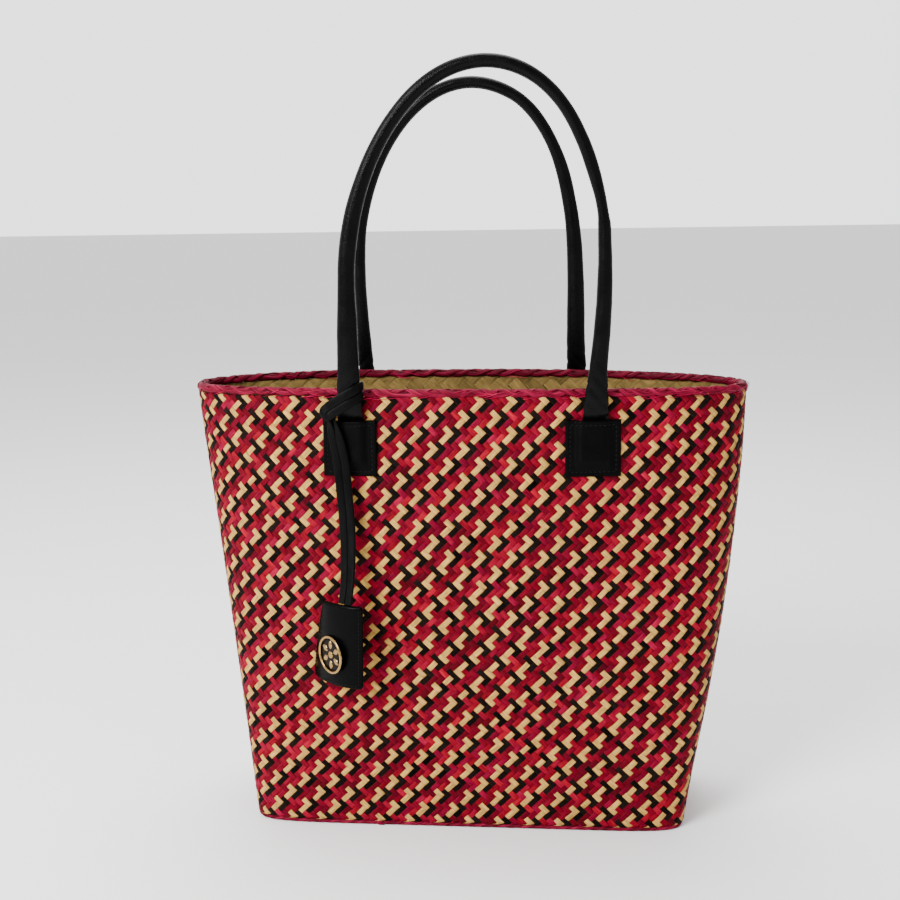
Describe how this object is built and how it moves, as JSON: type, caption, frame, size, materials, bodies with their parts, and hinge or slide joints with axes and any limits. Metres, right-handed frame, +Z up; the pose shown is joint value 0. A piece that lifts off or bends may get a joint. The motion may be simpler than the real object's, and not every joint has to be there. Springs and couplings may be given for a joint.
{
  "type": "basket bag",
  "caption": "Open woven straw basket bag with two black leather handles sewn on under leather patches, a raffia-bound rim and a leather tag hanging on a lace.",
  "frame": {"origin": "on the floor, under the middle of the bag", "axes": "+Z up, the front with the tag faces -Y, +X to the right seen from the front"},
  "size_m": [0.4006, 0.16, 0.541],
  "materials": {
    "coloured_straw": "woven strips of red, black and natural palm straw in a diagonal twill, satin",
    "plain_straw": "wide strips of undyed palm straw in a diagonal twill",
    "raffia": "magenta dyed raffia, twisted",
    "black_leather": "smooth, semi-gloss, stitched",
    "brass": "polished"
  },
  "bodies": {
    "root": {"basket_outer": "coloured_straw", "basket_lining": "plain_straw", "rim_binding": "raffia", "base_cord": "raffia", "handle_front": "black_leather", "handle_back": "black_leather", "patch_front_left": "black_leather", "patch_front_right": "black_leather", "patch_back_left": "black_leather", "patch_back_right": "black_leather", "tag_lace": "black_leather", "tag_pouch": "black_leather", "tag_emblem": "brass"}
  },
  "joints": []
}
